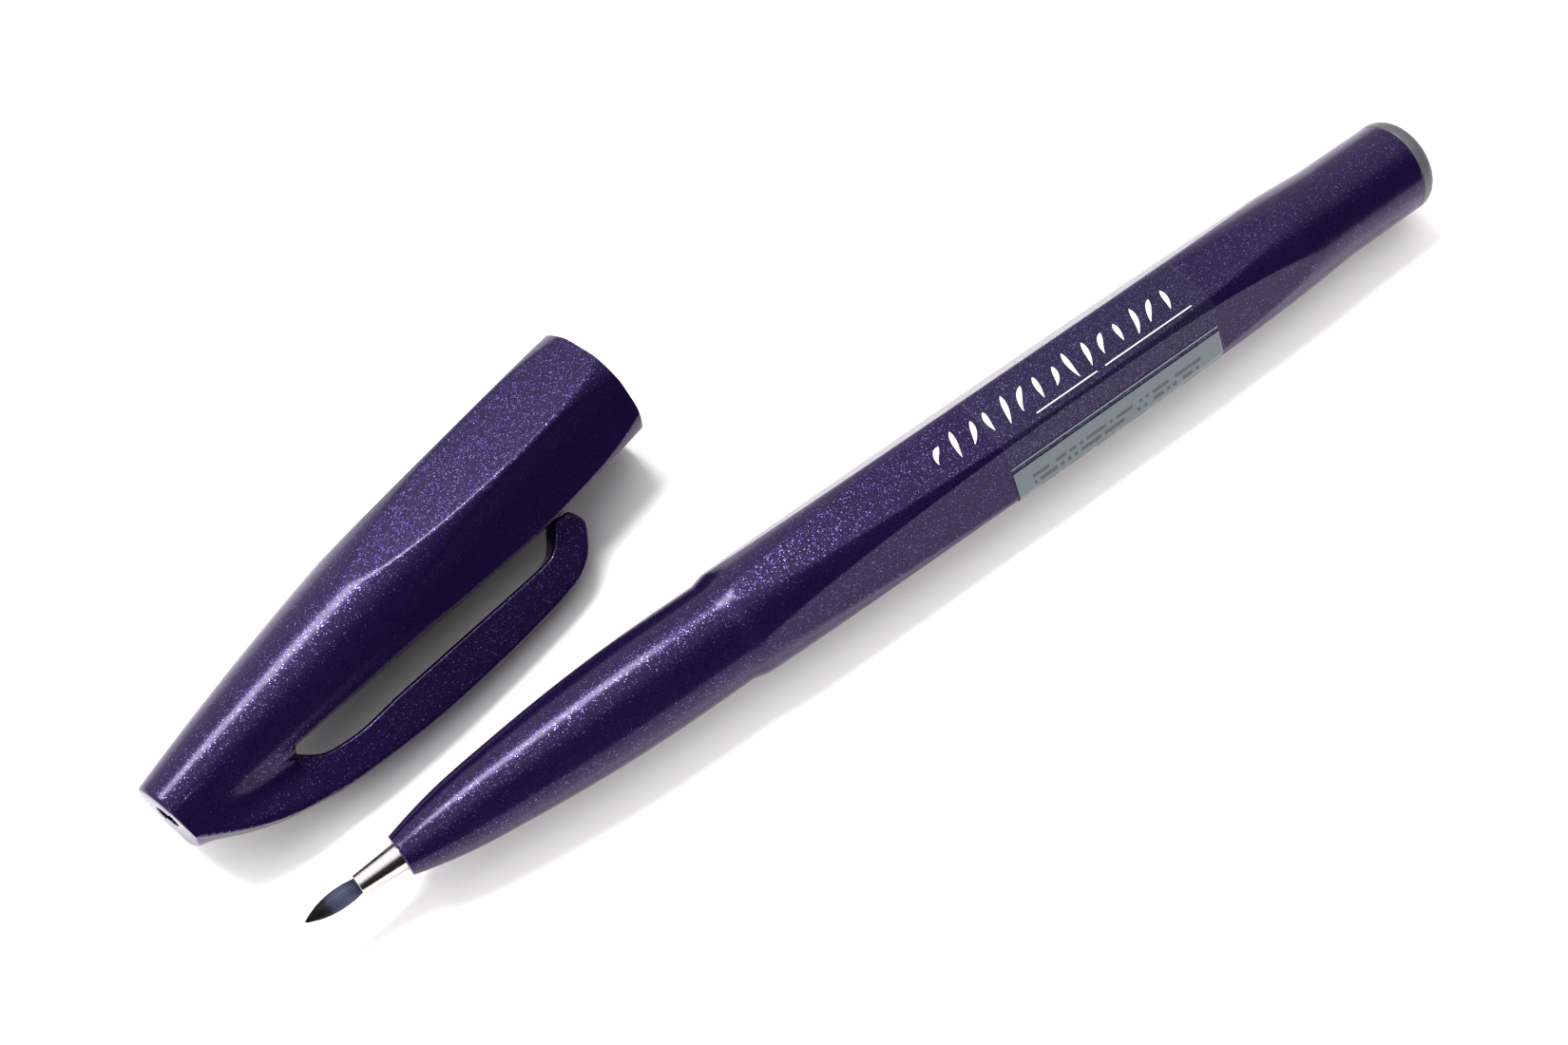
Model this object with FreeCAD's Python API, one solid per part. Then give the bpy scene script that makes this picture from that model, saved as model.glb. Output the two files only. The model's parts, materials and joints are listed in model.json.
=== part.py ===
import FreeCAD, Part
import os
from math import cos, radians

os.makedirs("parts", exist_ok=True)

# A capped brush pen with its cap pulled off and laid beside it on the table.
# Both pieces are built along their own X axis, then set down on the plane Z = 0.
# All sizes are in millimetres. A station is (distance along the axis, radius).

# ---- pen: distances from the point of the brush along the pen axis ----
pen_length = 130.0
tip_exposed = 5.2          # soft brush point in front of the metal holder
holder_exposed = 4.2       # metal holder in front of the plastic nose
nose_x = tip_exposed + holder_exposed
nose_radius = 2.0
nose_edge = 0.2
step_x = 43.0              # start of the shoulder that the cap's mouth closes against
plug_rim = 1.8             # visible rim of the tail plug
tail_x = pen_length - plug_rim

seat_land_radius = 4.95    # round land just in front of the shoulder
seat_land_length = 4.0
tail_land_radius = 4.95
tail_land_length = 9.0
flat_distance = 5.30       # axis to each of the six flats
corner_x = 82.0            # where the corners between the flats are fullest
bore_radius = 4.10
bore_start = 37.0
throat_radius = 2.1

grip_stations = [(nose_x + nose_edge, nose_radius), (14, 3.02), (21, 3.92), (29, 4.62),
                 (step_x - seat_land_length, seat_land_radius)]
body_stations = [(45.2, 5.34), (62, 5.80), (corner_x, 6.03), (102, 5.78),
                 (tail_x - tail_land_length, tail_land_radius)]

# ---- ribs inside the barrel that centre the ink reservoir ----
rib_count = 6
rib_start = 40.0
rib_end = 70.0
rib_width = 0.6

# ---- metal holder, its bush and the brush tip ----
holder_front_radius = 0.97
holder_radius = 1.30
holder_bore = 1.05
holder_depth = 8.6         # pressed into the nose
lip_bore = 0.80            # room for the tip's neck to swing in
lip_depth = 2.0
bush_bore = 0.60
bush_short = 0.6           # how far the bush stops short of the holder's inner end
bush_grooves = 3
groove_width = 0.25
groove_depth = 0.17
tip_stations = [(0, 0), (0.9, 0.45), (2.0, 0.77), (3.3, 0.91), (4.7, 0.84)]
flex_x = 5.75
neck_radius = 0.45
neck_end = 6.25

# ---- ink reservoir ----
reservoir_start = 37.5
reservoir_end = 112.0
reservoir_radius = 3.70
wrap_thickness = 0.15
feed_start = 6.55
feed_depth = 4.5           # how far the feed rod runs into the reservoir
feed_end = reservoir_start + feed_depth

# ---- tail plug ----
rim_fillet = 1.1
spigot_length = 7.0
spigot_bore = 3.2
post_radius = 1.4
post_gap = 0.1

# ---- clear film label around the barrel ----
label_start = 73.0
label_length = 26.5
label_thickness = 0.06
label_far_side = 4.55      # how far it reaches beyond the top, across the pen
label_under_side = 2.385   # how far it reaches below the axis on the near side

# ---- cap: distances from its closed end ----
cap_length = 54.8
cap_end_radius = 3.5
cap_edge = 0.35
cap_mouth_edge = 0.3
cap_flat = 6.20
cap_stations = [(cap_edge, cap_end_radius), (12, 5.05), (24, 6.20), (31, 6.68), (37, 6.95), (44, 7.05),
                (50, 6.95), (cap_length - cap_mouth_edge, 6.60)]
mouth_bore_radius = 5.05
mouth_bore_length = 9.0
vent_radius = 1.2
end_wall = 1.5
throat_stations = [(end_wall, 1.90), (26.0, 4.105)]

# ---- flat cut out of the cap to make room under the clip ----
room_start = 10.9
room_end = 42.2
room_depth_radius = 3.43   # axis to that flat at its start; at its end it meets the cap's own flat
room_wall = 1.3            # length of the slope at its start

# ---- clip: a loop of the cap moulding, drawn in a plane through the cap's axis ----
clip_half_width = 1.70
root_half_width = 3.10     # the loop widens towards the cap's closed end
clip_root = (0.2, 2.9)
clip_back = [clip_root, (5.5, 6.75), (12.5, 9.35), (21.0, 10.85), (30.0, 11.60), (37.5, 11.75)]
clip_shoulder = [(37.5, 11.75), (40.4, 11.45), (42.2, 10.65)]
clip_slot_end = [(14.8, 6.40), (12.2, 5.55), (room_start, 4.1)]
clip_toe_outer = (44.6, 8.1)
clip_toe_face = (42.1, 43.6)  # where the face towards the cap starts and ends
clip_slot_corner = (39.8, 8.45)
toe_gap = 0.12
toe_radius = cap_flat + toe_gap
hinge_x = 12.5
hinge_r = 7.6
knuckle_radius = 1.5
knuckle_gap = 0.08
root_gap = 0.30

# ---- inner cap ----
liner_start = 6.5
liner_end = throat_stations[1][0]
liner_gap = 0.30
liner_wall = 1.5
liner_bore = 1.75
liner_seat_x = 17.0
liner_mouth_radius = 3.55
liner_ribs = 4
liner_rib_start = 10.0
liner_rib_width = 0.7

# ---- how the two pieces lie on the table ----
clip_droop = 25.0          # clip plane below the horizontal
cap_yaw = 14.1             # cap axis against pen axis
cap_offset = (-4.2, 14.5)  # closed end of the cap from the point of the brush

X_AXIS = FreeCAD.Vector(1, 0, 0)
Z_AXIS = FreeCAD.Vector(0, 0, 1)
ORIGIN = FreeCAD.Vector(0, 0, 0)
CLEAR = 1.0                # how far a cutting shape runs past what it cuts
OVERLAP = 0.1              # how far two shapes that become one run into each other
WIDE = 20.0                # larger than any section of the pen or the cap
FINE = 0.005               # how closely a measured surface is followed


def point(x, y, z=0.0):
    return FreeCAD.Vector(x, y, z)


def lines(*corners):
    """Straight edges through the given (x, radius) corners."""
    ends = [point(*corner) for corner in corners]
    return [Part.makeLine(a, b) for a, b in zip(ends, ends[1:])]


def smooth(stations):
    """One flowing edge through the given (x, radius) stations."""
    curve = Part.BSplineCurve()
    curve.interpolate([point(*station) for station in stations])
    return [curve.toShape()]


def face_of(edges):
    return Part.Face(Part.Wire(Part.__sortEdges__(edges)))


def turned(edges):
    """Solid of revolution about X; the edges start and end on the axis."""
    return face_of(edges).revolve(ORIGIN, X_AXIS, 360)


def rod(x0, x1, radius):
    return Part.makeCylinder(radius, x1 - x0, point(x0, 0), X_AXIS)


def tube(x0, x1, outer, inner):
    return rod(x0, x1, outer).cut(rod(x0 - CLEAR, x1 + CLEAR, inner))


def cone(x0, x1, r0, r1):
    return Part.makeCone(r0, r1, x1 - x0, point(x0, 0), X_AXIS)


def hexagon_bar(x0, x1, apothem, first_flat):
    """Six-sided bar along X; first_flat is the direction of one flat, in degrees from Y."""
    reach = apothem / cos(radians(30))
    corner = point(x0, reach)
    corners = []
    for k in range(7):
        turn = FreeCAD.Rotation(X_AXIS, first_flat + 30 + 60 * k)
        corners.append(turn.multVec(corner))
    return Part.Face(Part.makePolygon(corners)).extrude(point(x1 - x0, 0))


def ribs(count, x0, x1, inner, outer, width):
    """Longitudinal ribs between two radii, evenly spaced round the axis."""
    rib = Part.makeBox(x1 - x0, outer - inner, width, point(x0, inner, -width / 2))
    fins = [rib.copy() for _ in range(count)]
    for k, fin in enumerate(fins):
        fin.rotate(ORIGIN, X_AXIS, 360 * k / count)
    return fins


# ---------------------------------------------------------------- pen pieces


def barrel_outside():
    """Round grip cone, shoulder, six-flatted body and round tail, as one filled solid."""
    nose = lines((nose_x, 0), (nose_x, nose_radius - nose_edge), grip_stations[0])
    shoulder = lines(grip_stations[-1], (step_x, seat_land_radius), body_stations[0])
    tail = lines(body_stations[-1], (tail_x, tail_land_radius), (tail_x, 0), (nose_x, 0))
    body = turned(nose + smooth(grip_stations) + shoulder + smooth(body_stations) + tail)
    return body.common(hexagon_bar(0, pen_length, flat_distance, 90))


def barrel():
    """One polypropylene moulding, open at the tail, with ribs that centre the ink reservoir."""
    throat_x = nose_x + holder_depth
    cavity = rod(bore_start, pen_length, bore_radius)
    cavity = cavity.fuse(cone(throat_x, bore_start, throat_radius, bore_radius))
    cavity = cavity.fuse(rod(nose_x - CLEAR, throat_x + OVERLAP, holder_radius))
    wrap_radius = reservoir_radius + wrap_thickness
    for rib in ribs(rib_count, rib_start, rib_end, wrap_radius, bore_radius + OVERLAP, rib_width):
        cavity = cavity.cut(rib)
    return barrel_outside().cut(cavity)


def tip_holder():
    """Drawn stainless sleeve, tapered where it shows and pressed into the nose behind."""
    back = nose_x + holder_depth
    lip_end = tip_exposed + lip_depth
    outside = cone(tip_exposed, nose_x, holder_front_radius, holder_radius)
    outside = outside.fuse(rod(nose_x, back, holder_radius))
    inside = rod(tip_exposed - CLEAR, lip_end, lip_bore).fuse(rod(lip_end, back + CLEAR, holder_bore))
    return outside.cut(inside)


def nib_seat():
    """Plastic bush pressed into the sleeve; its grooves let air past the feed rod."""
    start = tip_exposed + lip_depth
    end = nose_x + holder_depth - bush_short
    bush = tube(start, end, holder_bore, bush_bore)
    floor = holder_bore - groove_depth
    grooves = ribs(bush_grooves, start - CLEAR, end + CLEAR, floor, holder_bore + OVERLAP, groove_width)
    for groove in grooves:
        bush = bush.cut(groove)
    return bush


def brush_tip():
    """Leaf-shaped elastomer point on a thin neck that flexes inside the holder's mouth."""
    back_x, back_radius = tip_stations[-1]
    head = turned(smooth(tip_stations) + lines((back_x, back_radius), (back_x, 0), (0, 0)))
    return head.fuse(rod(back_x - OVERLAP, neck_end, neck_radius))


def feed_rod():
    """Bonded-fibre rod that carries ink from the reservoir to the root of the brush tip."""
    return rod(feed_start, feed_end, bush_bore)


def ink_reservoir():
    """Bundle of polyester fibre that holds the ink, pierced at its front by the feed rod."""
    bundle = rod(reservoir_start, reservoir_end, reservoir_radius)
    return bundle.cut(rod(reservoir_start - CLEAR, feed_end, bush_bore))


def reservoir_wrap():
    """Thin plastic film wound round the fibre bundle."""
    return tube(reservoir_start, reservoir_end, reservoir_radius + wrap_thickness, reservoir_radius)


def tail_plug():
    """Grey push-in plug: rounded rim, hollow spigot and a post that stops the reservoir."""
    rim = rod(tail_x, pen_length, tail_land_radius)
    outer_edges = [edge for edge in rim.Edges if edge.BoundBox.XMin > tail_x + rim_fillet / 2]
    rim = rim.makeFillet(rim_fillet, outer_edges)
    spigot = tube(tail_x - spigot_length, tail_x, bore_radius, spigot_bore)
    post = rod(reservoir_end + post_gap, tail_x, post_radius)
    return rim.fuse(spigot).fuse(post)


def film_label():
    """Clear printed film wrapped round the upper and near sides, clear of the resting flat."""
    raised = [(x, radius + label_thickness) for x, radius in body_stations]
    (first_x, first_radius), (last_x, last_radius) = raised[0], raised[-1]
    ends = lines((last_x, last_radius), (last_x, 0), (first_x, 0), (first_x, first_radius))
    skin = turned(smooth(raised) + ends)
    skin = skin.common(hexagon_bar(0, pen_length, flat_distance + label_thickness, 90))
    skin = skin.cut(barrel_outside()).common(rod(label_start, label_start + label_length, WIDE))
    start = label_start - CLEAR
    length = label_length + 2 * CLEAR
    under = Part.makeBox(length, 2 * WIDE, WIDE, point(start, -WIDE, -WIDE - label_under_side))
    far_side = Part.makeBox(length, WIDE, 2 * WIDE, point(start, label_far_side, -WIDE))
    return skin.cut(under).cut(far_side)


# ---------------------------------------------------------------- cap pieces


def throat_radius_at(x):
    """Radius of the narrow part of the cap's inside at a distance from the closed end."""
    (x0, r0), (x1, r1) = throat_stations
    return r0 + (r1 - r0) * (x - x0) / (x1 - x0)


def clip_loop():
    """The whole loop of the clip, from the cap's closed end round to the toe."""
    face_start, face_end = clip_toe_face
    toe = lines(clip_shoulder[-1], clip_toe_outer, (face_end, toe_radius), (face_start, toe_radius),
                clip_slot_corner, clip_slot_end[0])
    root = lines(clip_slot_end[-1], (room_start, clip_root[1]), clip_root)
    loop = face_of(smooth(clip_back) + smooth(clip_shoulder) + toe + smooth(clip_slot_end) + root)
    loop.translate(point(0, 0, -WIDE))
    one_side = [(0, root_half_width), (room_start, clip_half_width), (cap_length, clip_half_width)]
    other_side = [(x, -width) for x, width in reversed(one_side)]
    corners = [point(x, 0, width) for x, width in one_side + other_side + one_side[:1]]
    plan = Part.Face(Part.makePolygon(corners)).extrude(point(0, WIDE))
    return loop.extrude(point(0, 0, 2 * WIDE)).common(plan)


def knuckle(radius):
    start = point(hinge_x, hinge_r, -root_half_width - CLEAR)
    return Part.makeCylinder(radius, 2 * (root_half_width + CLEAR), start, Z_AXIS)


def clip():
    """Free arm of the loop, from the flexing neck at its root to the toe."""
    ahead = Part.makeBox(cap_length, 2 * WIDE, 2 * WIDE, point(hinge_x, 0, -WIDE))
    loop = clip_loop()
    return loop.common(ahead).fuse(loop.common(knuckle(knuckle_radius))).removeSplitter()


def room_under_clip():
    """Wedge that is cut away under the clip, down to the slanted flat."""
    high = cap_flat + CLEAR
    corners = [(room_start - room_wall, high), (room_start, room_depth_radius), (room_end, cap_flat),
               (room_end, high), (room_start - room_wall, high)]
    wedge = Part.Face(Part.makePolygon([point(*corner) for corner in corners]))
    wedge.translate(point(0, 0, -WIDE / 2))
    return wedge.extrude(point(0, 0, WIDE))


def cap_shell():
    """Outer moulding of the cap with the clip's root, a vent in its end and a tapered inside."""
    mouth_radius = cap_stations[-1][1]
    closed_end = lines((0, 0), (0, cap_end_radius - cap_edge), cap_stations[0])
    mouth = lines(cap_stations[-1], (cap_length, mouth_radius - cap_mouth_edge), (cap_length, 0), (0, 0))
    outside = turned(closed_end + smooth(cap_stations) + mouth)
    outside = outside.common(hexagon_bar(-CLEAR, cap_length + CLEAR, cap_flat, 0)).cut(room_under_clip())
    behind = Part.makeBox(cap_length, 2 * WIDE, 2 * WIDE, point(hinge_x - root_gap - cap_length, 0, -WIDE))
    root = clip_loop().common(behind).cut(knuckle(knuckle_radius + knuckle_gap))
    (x0, r0), (x1, r1) = throat_stations
    bore_x = cap_length - mouth_bore_length
    inside = rod(-CLEAR, x0 + OVERLAP, vent_radius).fuse(cone(x0, x1, r0, r1))
    inside = inside.fuse(cone(x1, bore_x, r1, mouth_bore_radius))
    inside = inside.fuse(rod(bore_x, cap_length + CLEAR, mouth_bore_radius))
    return outside.fuse(root).cut(inside)


def cap_liner():
    """Inner cap that seals round the grip cone; four ribs hold it off the shell as air passages."""
    start_radius = throat_radius_at(liner_start)
    end_radius = throat_radius_at(liner_end)
    body = cone(liner_start, liner_end, start_radius - liner_gap, end_radius - liner_gap)
    inside = rod(liner_start + liner_wall, liner_seat_x + OVERLAP, liner_bore)
    inside = inside.fuse(cone(liner_seat_x, liner_end + CLEAR, liner_bore, liner_mouth_radius))
    room = cone(liner_start, liner_end, start_radius, end_radius)
    inner, outer = liner_bore + OVERLAP, end_radius + CLEAR
    fins = ribs(liner_ribs, liner_rib_start, liner_end, inner, outer, liner_rib_width)
    for fin in fins:
        body = body.fuse(fin.common(room))
    return body.cut(inside)


# ---------------------------------------------------------------- set down on the table

pen = {
    "barrel": barrel(),
    "tail_plug": tail_plug(),
    "tip_holder": tip_holder(),
    "nib_seat": nib_seat(),
    "feed_rod": feed_rod(),
    "ink_reservoir": ink_reservoir(),
    "reservoir_wrap": reservoir_wrap(),
    "film_label": film_label(),
    "brush_tip": brush_tip(),
}
cap = {
    "cap_shell": cap_shell(),
    "cap_liner": cap_liner(),
    "clip": clip(),
}

turn_clip = FreeCAD.Rotation(X_AXIS, 180 + clip_droop)
turn_cap = FreeCAD.Rotation(Z_AXIS, cap_yaw)


def extent(shapes, axis):
    """Lowest and highest coordinate of the shapes' surfaces along one axis (0, 1 or 2)."""
    values = [vertex[axis] for shape in shapes for vertex in shape.tessellate(FINE)[0]]
    return min(values), max(values)


for shape in cap.values():
    shape.Placement = FreeCAD.Placement(ORIGIN, turn_cap * turn_clip)
cap_height = -extent(cap.values(), 2)[0]
for shape in cap.values():
    shape.translate(point(cap_offset[0], cap_offset[1], cap_height))
for shape in pen.values():
    shape.translate(point(0, 0, flat_distance))

# The origin is the middle of the footprint, on the table.
placed = {**pen, **cap}
shift_x = -sum(extent(placed.values(), 0)) / 2
shift_y = -sum(extent(placed.values(), 1)) / 2

for name, shape in placed.items():
    shape.translate(point(shift_x, shift_y))
    shape.exportStep(os.path.join("parts", name + ".step"))
    print(name, len(shape.Solids), "solid, valid", shape.isValid(), "volume %.1f mm3" % shape.Volume)
print("pen point at %.4f %.4f %.4f" % (shift_x, shift_y, flat_distance))
print("cap end at %.4f %.4f %.4f" % (shift_x + cap_offset[0], shift_y + cap_offset[1], cap_height))
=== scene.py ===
import json

import bmesh
import bpy
import numpy as np
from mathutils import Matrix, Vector


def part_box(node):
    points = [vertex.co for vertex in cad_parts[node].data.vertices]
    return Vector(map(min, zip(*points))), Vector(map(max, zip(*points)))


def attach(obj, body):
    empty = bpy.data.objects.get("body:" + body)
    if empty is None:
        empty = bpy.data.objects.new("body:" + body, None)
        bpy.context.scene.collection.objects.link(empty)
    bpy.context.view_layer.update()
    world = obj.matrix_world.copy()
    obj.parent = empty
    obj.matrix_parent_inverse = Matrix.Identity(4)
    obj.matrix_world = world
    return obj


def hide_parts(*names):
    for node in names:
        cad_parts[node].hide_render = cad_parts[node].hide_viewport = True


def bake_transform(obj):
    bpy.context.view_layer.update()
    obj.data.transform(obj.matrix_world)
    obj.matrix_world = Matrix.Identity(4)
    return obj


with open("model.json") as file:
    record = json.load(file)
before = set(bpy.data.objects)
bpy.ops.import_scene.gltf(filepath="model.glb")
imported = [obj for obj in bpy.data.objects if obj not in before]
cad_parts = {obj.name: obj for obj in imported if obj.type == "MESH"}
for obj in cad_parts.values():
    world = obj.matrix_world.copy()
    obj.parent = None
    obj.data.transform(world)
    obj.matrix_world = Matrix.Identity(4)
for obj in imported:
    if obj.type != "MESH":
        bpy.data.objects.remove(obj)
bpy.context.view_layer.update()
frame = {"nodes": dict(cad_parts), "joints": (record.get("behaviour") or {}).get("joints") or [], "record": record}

# ---------------------------------------------------------------- barrel
# The grip cone and the barrel are one injection moulding of violet polypropylene with fine mica
# flake in it, polished in the mould. It is round at the grip and at the tail, and six flats run
# into its fullest part. It lies on one of them, and the cap's mouth closes against its shoulder.

MM = 0.001
plug_low, plug_high = [np.array(corner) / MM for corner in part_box("tail_plug")]
tip_low = np.array(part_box("brush_tip")[0]) / MM
pen_point = np.array([tip_low[0], *(plug_low + plug_high)[1:] / 2])
pen_length = plug_high[0] - pen_point[0]

nose_x = 9.4
nose_edge = 0.2
nose_radius = 2.0
holder_radius = 1.30
holder_back = 18.0
shoulder_x = 43.0
shoulder_end = 45.2
land_radius = 4.95
shoulder_radius = 5.34
flat_distance = pen_point[2]
tail_x = 128.2
tail_start = 119.2
tail_edge = 0.22
bore_radius = 4.10
bore_start = 37.0
throat_radius = 2.1
flat_softness = 0.05
ring_steps = 360
outline_step = 0.8
grip_stations = [
    (nose_x + nose_edge, nose_radius), (14, 3.02), (21, 3.92), (29, 4.62), (39, land_radius)]
body_stations = [
    (shoulder_end, shoulder_radius), (62, 5.80), (82, 6.03), (102, 5.78), (tail_start, land_radius)]


def flow(stations, step):
    """A smooth line through the stations, as points about step millimetres apart."""
    stops = np.array(stations, float)
    run = np.concatenate([[0], np.cumsum(np.linalg.norm(np.diff(stops, axis=0), axis=1))])
    slope = np.gradient(stops, run, axis=0, edge_order=2)
    along = np.linspace(0, run[-1], int(round(run[-1] / step)) + 1)
    i = np.clip(np.searchsorted(run, along, side="right") - 1, 0, len(run) - 2)
    gap = (run[i + 1] - run[i])[:, None]
    s = (along - run[i])[:, None] / gap
    start = (1 + 2 * s) * (1 - s) ** 2 * stops[i] + s * (1 - s) ** 2 * gap * slope[i]
    end = s ** 2 * (3 - 2 * s) * stops[i + 1] + s ** 2 * (s - 1) * gap * slope[i + 1]
    return start + end


def arc(x, r, radius, first, last, steps=5):
    """Points on a circle in the outline's plane, between two angles in degrees from the axis."""
    turn = np.radians(np.linspace(first, last, steps))
    return np.column_stack([x + radius * np.cos(turn), r + radius * np.sin(turn)])


def soft_min(a, b, width):
    """The smaller of a and b, with the crease between them rounded over the width."""
    near = np.clip(0.5 + 0.5 * (b - a) / width, 0, 1)
    return b + (a - b) * near - width * near * (1 - near)


def on_pen(x, radius, angle):
    """Points of the pen in metres; the angle turns from +Y towards +Z about its axis."""
    x, radius, angle = np.broadcast_arrays(x, radius, angle)
    local = np.stack([x, radius * np.cos(angle), radius * np.sin(angle)], axis=-1)
    return (local + pen_point) * MM


def with_flats(radius, angle, flat, first, softness):
    """Cuts six flats, square to first and every 60 degrees from it, into a turned radius."""
    off = (angle - first + np.pi / 6) % (np.pi / 3) - np.pi / 6
    return soft_min(radius, flat / np.cos(off), softness)


def barrel_radius(x, angle):
    """Radius of the barrel's outside behind the shoulder, with its flats."""
    line = flow(body_stations, outline_step)
    turned = np.interp(x, line[:, 0], line[:, 1])
    return with_flats(turned, angle, flat_distance, np.pi / 2, flat_softness)


def piece_from_rings(name, rings, material, closed=True):
    """A piece from rings of points: each ring is closed, and so is the row of rings if asked."""
    count, around = rings.shape[:2]
    rows = np.arange(count if closed else count - 1)[:, None]
    columns = np.arange(around)[None, :]
    ahead, beside = (rows + 1) % count, (columns + 1) % around
    quads = np.stack([rows * around + columns, ahead * around + columns,
                      ahead * around + beside, rows * around + beside], axis=-1).reshape(-1, 4)
    mesh = bpy.data.meshes.new(name)
    mesh.from_pydata(rings.reshape(-1, 3).tolist(), [], quads.tolist())
    return finished_piece(name, mesh, material)


def finished_piece(name, mesh, material, crease=40):
    """Welds poles, closes open ends, turns faces outwards and shades them smooth."""
    shape = bmesh.new()
    shape.from_mesh(mesh)
    bmesh.ops.remove_doubles(shape, verts=shape.verts, dist=1e-7)
    bmesh.ops.holes_fill(shape, edges=shape.edges, sides=0)
    bmesh.ops.recalc_face_normals(shape, faces=shape.faces)
    shape.to_mesh(mesh)
    shape.free()
    mesh.shade_smooth()
    mesh.set_sharp_from_angle(angle=np.radians(crease))
    mesh.materials.append(material)
    piece = bpy.data.objects.new(name, mesh)
    bpy.context.scene.collection.objects.link(piece)
    normals = piece.modifiers.new("even_normals", "WEIGHTED_NORMAL")
    normals.keep_sharp = True
    return piece


def linear(code):
    """An sRGB hex colour as linear red, green, blue and alpha."""
    parts = [int(code[i:i + 2], 16) / 255 for i in (1, 3, 5)]
    return [part / 12.92 if part <= 0.04045 else ((part + 0.055) / 1.055) ** 2.4
            for part in parts] + [1]


def add(tree, kind, settings=None, links=None):
    """Adds a node; settings are its own, links give each input a value or the socket it reads."""
    node = tree.nodes.new(kind)
    for key, value in (settings or {}).items():
        setattr(node, key, value)
    for key, value in (links or {}).items():
        if isinstance(value, bpy.types.NodeSocket):
            tree.links.new(value, node.inputs[key])
        else:
            node.inputs[key].default_value = value
    return node


def new_material(name, sockets):
    """A material, its node tree and its surface node with the uniform values set on it."""
    made = bpy.data.materials.new(name)
    made.use_nodes = True
    surface = made.node_tree.nodes["Principled BSDF"]
    for key, value in sockets.items():
        surface.inputs[key].default_value = value
    return made, made.node_tree, surface


# Polypropylene with mica: nearly black violet in the shade, with flakes below a gloss skin that each
# catch the light at their own angle, so that lit faces glitter. Real flakes are about 0.05 mm across,
# and are drawn at 0.07 mm so that they show.
violet_mica, tree, surface = new_material("violet_polypropylene_with_mica_moulded", {
    "IOR": 1.49, "Specular IOR Level": 0.19, "Specular Tint": linear("#bb97f6"),
    "Coat Weight": 0.24, "Coat Roughness": 0.17})
flake_size = 0.07
flake_share = 0.12
flake_tilt = 0.05
bright_flake_power = 5.0
tone_drift = 6
place = add(tree, "ShaderNodeTexCoord").outputs["Object"]
facing = add(tree, "ShaderNodeNewGeometry").outputs["Normal"]
flakes = add(tree, "ShaderNodeTexVoronoi", {}, {"Vector": place, "Scale": 1 / (flake_size * MM)})
chance = add(tree, "ShaderNodeSeparateColor", {}, {"Color": flakes.outputs["Color"]})
is_flake = add(tree, "ShaderNodeMath", {"operation": "LESS_THAN"},
               {0: chance.outputs["Red"], 1: flake_share}).outputs["Value"]
lean = add(tree, "ShaderNodeVectorMath", {"operation": "MULTIPLY_ADD"},
           {0: flakes.outputs["Color"], 1: [2 * flake_tilt] * 3, 2: [-flake_tilt] * 3})
leaning = add(tree, "ShaderNodeVectorMath", {"operation": "ADD"}, {0: facing, 1: lean.outputs["Vector"]})
flake_normal = add(tree, "ShaderNodeVectorMath", {"operation": "NORMALIZE"}, {0: leaning.outputs["Vector"]})
normal = add(tree, "ShaderNodeMix", {"data_type": "VECTOR"},
             {"Factor": is_flake, "A": facing, "B": flake_normal.outputs["Vector"]})
drift = add(tree, "ShaderNodeTexNoise", {}, {"Vector": place, "Scale": 1 / (tone_drift * MM), "Detail": 3.0})
body_colour = add(tree, "ShaderNodeMix", {"data_type": "RGBA"},
                  {"Factor": drift.outputs["Fac"], "A": linear("#0f0723"), "B": linear("#13092a")})
rare = add(tree, "ShaderNodeMath", {"operation": "POWER"},
           {0: chance.outputs["Green"], 1: bright_flake_power})
flake_colour = add(tree, "ShaderNodeMix", {"data_type": "RGBA"},
                   {"Factor": rare.outputs["Value"], "A": linear("#30245a"), "B": linear("#8f7fc4")})
colour = add(tree, "ShaderNodeMix", {"data_type": "RGBA"},
             {"Factor": is_flake, "A": body_colour.outputs["Result"], "B": flake_colour.outputs["Result"]})
shine = add(tree, "ShaderNodeMapRange", {}, {"Value": is_flake, "To Min": 0.23, "To Max": 0.29})
for socket, value in (("Base Color", colour.outputs["Result"]), ("Metallic", is_flake),
                      ("Roughness", shine.outputs["Result"]), ("Normal", normal.outputs["Result"])):
    tree.links.new(value, surface.inputs[socket])

rise_steps = np.linspace(0, 1, 9)
shoulder_height = (shoulder_radius - land_radius) * (0.5 - 0.5 * np.cos(np.pi * rise_steps))
shoulder_rise = np.column_stack([
    shoulder_x + (shoulder_end - shoulder_x) * rise_steps, land_radius + shoulder_height])
barrel_outside = np.vstack([
    [(nose_x, holder_radius)],
    arc(nose_x + nose_edge, nose_radius - nose_edge, nose_edge, 180, 90),
    flow(grip_stations, outline_step)[1:],
    shoulder_rise,
    flow(body_stations, outline_step)[1:],
    arc(tail_x - tail_edge, land_radius - tail_edge, tail_edge, 90, 0)])
barrel_inside = np.array([
    (tail_x, bore_radius), (bore_start, bore_radius), (holder_back, throat_radius),
    (holder_back, holder_radius)])
barrel_outline = np.vstack([barrel_outside, barrel_inside])
ring_angles = np.arange(ring_steps) * 2 * np.pi / ring_steps
barrel_radii = with_flats(barrel_outline[:, 1:], ring_angles[None, :], flat_distance, np.pi / 2,
                          flat_softness)
barrel_rings = on_pen(barrel_outline[:, :1], barrel_radii, ring_angles)
barrel = piece_from_rings("barrel_shell", barrel_rings, violet_mica)
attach(barrel, "pen")
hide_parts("barrel")

# ---------------------------------------------------------------- tip holder
# A sleeve drawn from stainless steel, tapered where it shows, with a rolled lip round the brush
# tip. It is pressed 8.6 mm into the nose, and a plastic bush inside it grips the feed rod.

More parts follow.
